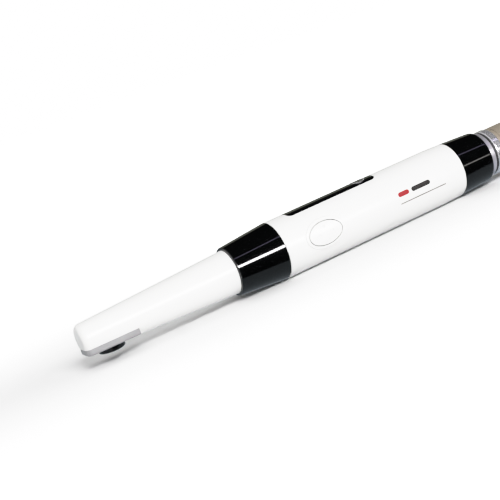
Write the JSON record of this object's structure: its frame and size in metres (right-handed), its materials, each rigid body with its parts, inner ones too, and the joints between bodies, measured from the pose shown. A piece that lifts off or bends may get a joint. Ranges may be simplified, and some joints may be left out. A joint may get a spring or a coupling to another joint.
{
  "type": "intraoral camera",
  "caption": "Pen-shaped dental camera with a tapered nose, a lens under the tip, a turning focus ring, press buttons on the barrel and a cable socket in the tail.",
  "frame": {"origin": "on the long axis, in the middle of the plain grip stretch of the barrel behind the top panel", "axes": "+X along the handpiece to the tail with the cable socket, +Z out of the black top panel; the lens faces -Z and the oval button faces -Y"},
  "size_m": [0.2024, 0.0237, 0.0231],
  "materials": {
    "white_shell": "gloss white",
    "pale_plate": "gloss pale grey",
    "black_gloss": "polished black",
    "black_inner": "matt black",
    "bright_chrome": "polished",
    "pale_metal": "satin",
    "champagne_metal": "satin anodised",
    "bush_metal": "turned",
    "black_metal": "black anodised",
    "steel": "plain",
    "contact_brass": "plain",
    "seal_rubber": "matt",
    "lead_rubber": "matt",
    "optic_glass": "polished",
    "board_green": "lacquered board",
    "lamp_white": "lamp body",
    "chip_black": "moulded",
    "connector_cream": "moulded",
    "plunger_white": "moulded",
    "ribbon_amber": "film"
  },
  "bodies": {
    "handpiece": {"nose_shell": "white_shell", "tip_plate": "pale_plate", "lens_bezel": "black_gloss", "lens_window": "optic_glass", "led_board": "board_green", "white_leds": "lamp_white", "prism": "optic_glass", "prism_holder": "black_inner", "relay_tube": "black_metal", "objective_lens": "optic_glass", "relay_lens": "optic_glass", "imaging_lens": "optic_glass", "tube_support": "black_inner", "front_bush": "bush_metal", "ring_seal_front": "seal_rubber", "ring_seal_rear": "seal_rubber", "barrel": "white_shell", "top_panel": "black_gloss", "button_trim": "bright_chrome", "top_switch": "chip_black", "side_switch": "chip_black", "side_board": "board_green", "chassis": "black_inner", "main_board": "board_green", "board_screws": "steel", "video_chip": "chip_black", "memory_chip": "chip_black", "crystal": "steel", "board_header": "connector_cream", "sensor_connector": "connector_cream", "sensor_ribbon": "ribbon_amber", "ribbon_connector": "connector_cream", "led_ribbon": "ribbon_amber", "socket_lead": "lead_rubber", "rear_bush": "bush_metal", "rear_ring": "black_gloss", "trim_ring": "pale_metal", "groove_seal": "seal_rubber", "chrome_collar": "bright_chrome", "rear_sleeve": "champagne_metal", "socket_insert": "black_inner", "socket_contacts": "contact_brass", "socket_nut": "contact_brass"},
    "focus_ring": {"focus_ring": "black_gloss"},
    "focus_carriage": {"focus_carriage": "black_metal", "cam_pin": "steel", "image_sensor": "chip_black", "sensor_board": "board_green"},
    "side_button": {"side_button": "white_shell", "side_plunger": "plunger_white"},
    "top_button": {"top_button": "black_gloss", "top_plunger": "plunger_white"}
  },
  "joints": [
    {"name": "focus_turn", "type": "hinge", "parent": "handpiece", "child": "focus_ring", "pos_m": [-0.0742, 0, 0], "axis": [1, 0, 0], "range_deg": [-40, 40]},
    {"name": "focus_slide", "type": "slide", "parent": "handpiece", "child": "focus_carriage", "axis": [1, 0, 0], "range_m": [-0.001, 0.001], "deforming": ["sensor_ribbon"]},
    {"name": "side_button_press", "type": "slide", "parent": "handpiece", "child": "side_button", "axis": [0, 1, 0], "range_m": [0, 0.0006], "stiffness_N_per_m": 1500, "springref_m": -0.0005},
    {"name": "top_button_press", "type": "slide", "parent": "handpiece", "child": "top_button", "axis": [0, 0, -1], "range_m": [0, 0.0005], "stiffness_N_per_m": 1500, "springref_m": -0.0005}
  ],
  "couplings": [
    {"joint": "focus_turn", "follows": "focus_slide", "rad_per_m": 698.1}
  ]
}
